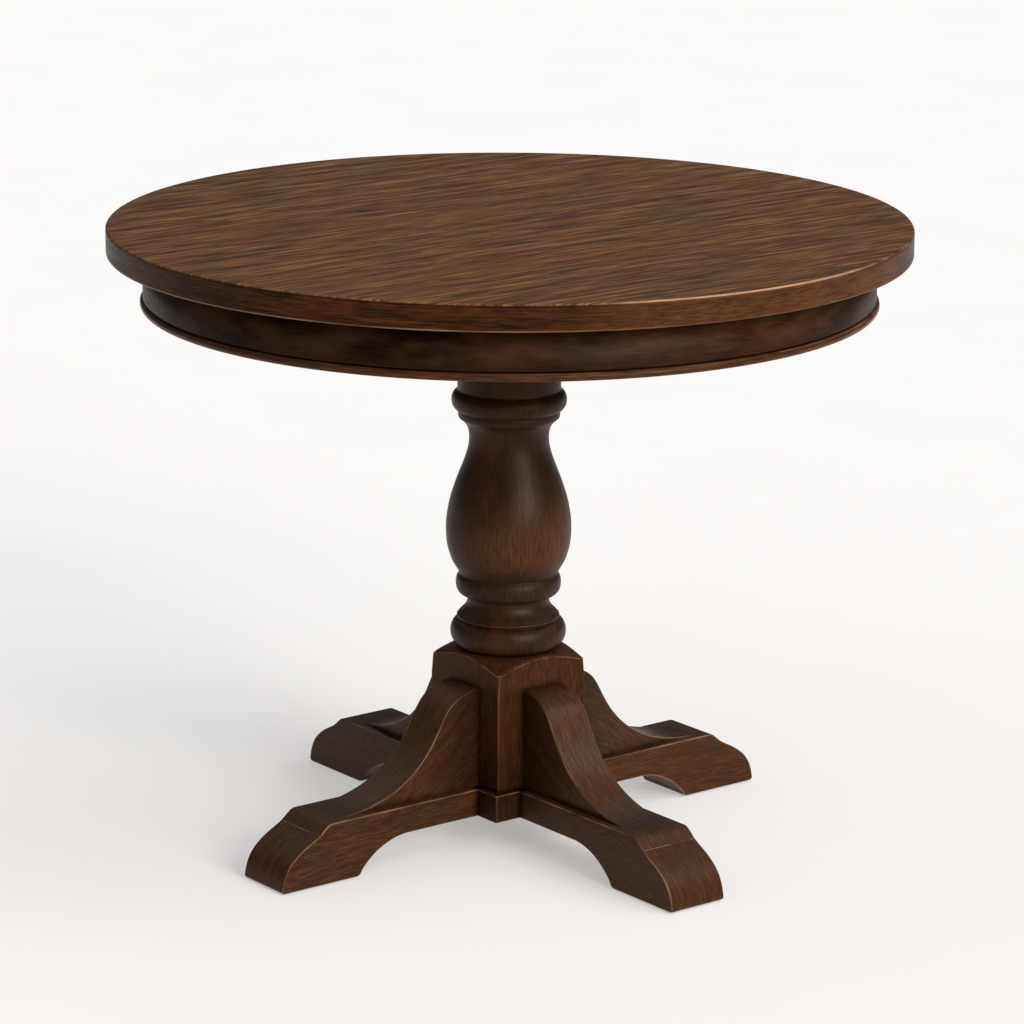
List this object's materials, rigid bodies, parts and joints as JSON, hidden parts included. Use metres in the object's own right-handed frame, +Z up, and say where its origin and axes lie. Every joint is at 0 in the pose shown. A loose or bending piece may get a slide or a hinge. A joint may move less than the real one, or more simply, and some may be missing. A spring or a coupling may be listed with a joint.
{
  "type": "round pedestal table",
  "caption": "Round wooden dining table on a turned baluster pedestal, with an apron hoop under the top and scroll-bracketed feet in a cross.",
  "frame": {"origin": "centre of the footprint, on the floor under the column axis", "axes": "+Z up along the column; +X, +Y, -X and -Y each point along one foot; the top's grain runs along Y"},
  "size_m": [0.9599, 0.96, 0.76],
  "materials": {
    "top_veneer": "dark espresso-walnut stain, satin lacquer, straight long grain",
    "lipping": "dark espresso-walnut stain, satin lacquer, grain around the rim",
    "core": "unstained core, wiped with brown stain underneath",
    "apron": "dark espresso-walnut stain, satin lacquer, grain around the hoop",
    "turned_wood": "dark espresso-walnut stain, satin lacquer, vertical grain",
    "base_wood": "dark espresso-walnut stain, satin lacquer, lengthwise grain",
    "bracket_wood": "dark espresso-walnut stain, satin lacquer, slanting grain",
    "cleat_wood": "plain hardwood, thin brown wash",
    "dowel_wood": "bare beech",
    "zinc_steel": "zinc plated, dull",
    "black_steel": "black powder coat, fine texture",
    "glide_plastic": "dark brown nylon, matte"
  },
  "bodies": {
    "root": {"top_core_panel": "core", "top_face_veneer": "top_veneer", "edge_lipping": "lipping", "apron_hoop": "apron", "apron_bead": "apron", "apron_glue_blocks": "cleat_wood", "glue_block_screws": "zinc_steel", "top_cleat_lower": "cleat_wood", "top_cleat_upper": "cleat_wood", "cleat_screws": "zinc_steel", "column": "turned_wood", "column_dowels": "dowel_wood", "post_block": "turned_wood", "plinth_block": "base_wood", "bracket_post_dowels": "dowel_wood", "bracket_foot_dowels": "dowel_wood", "tie_rod": "zinc_steel", "tie_rod_nuts": "zinc_steel", "tie_rod_washers": "zinc_steel", "spider_plate": "black_steel", "spider_plate_screws": "zinc_steel", "floor_glides": "glide_plastic", "glide_pins": "zinc_steel", "foot_bar_1": "base_wood", "scroll_bracket_1": "bracket_wood", "foot_bar_2": "base_wood", "scroll_bracket_2": "bracket_wood", "foot_bar_3": "base_wood", "scroll_bracket_3": "bracket_wood", "foot_bar_4": "base_wood", "scroll_bracket_4": "bracket_wood"}
  },
  "joints": []
}
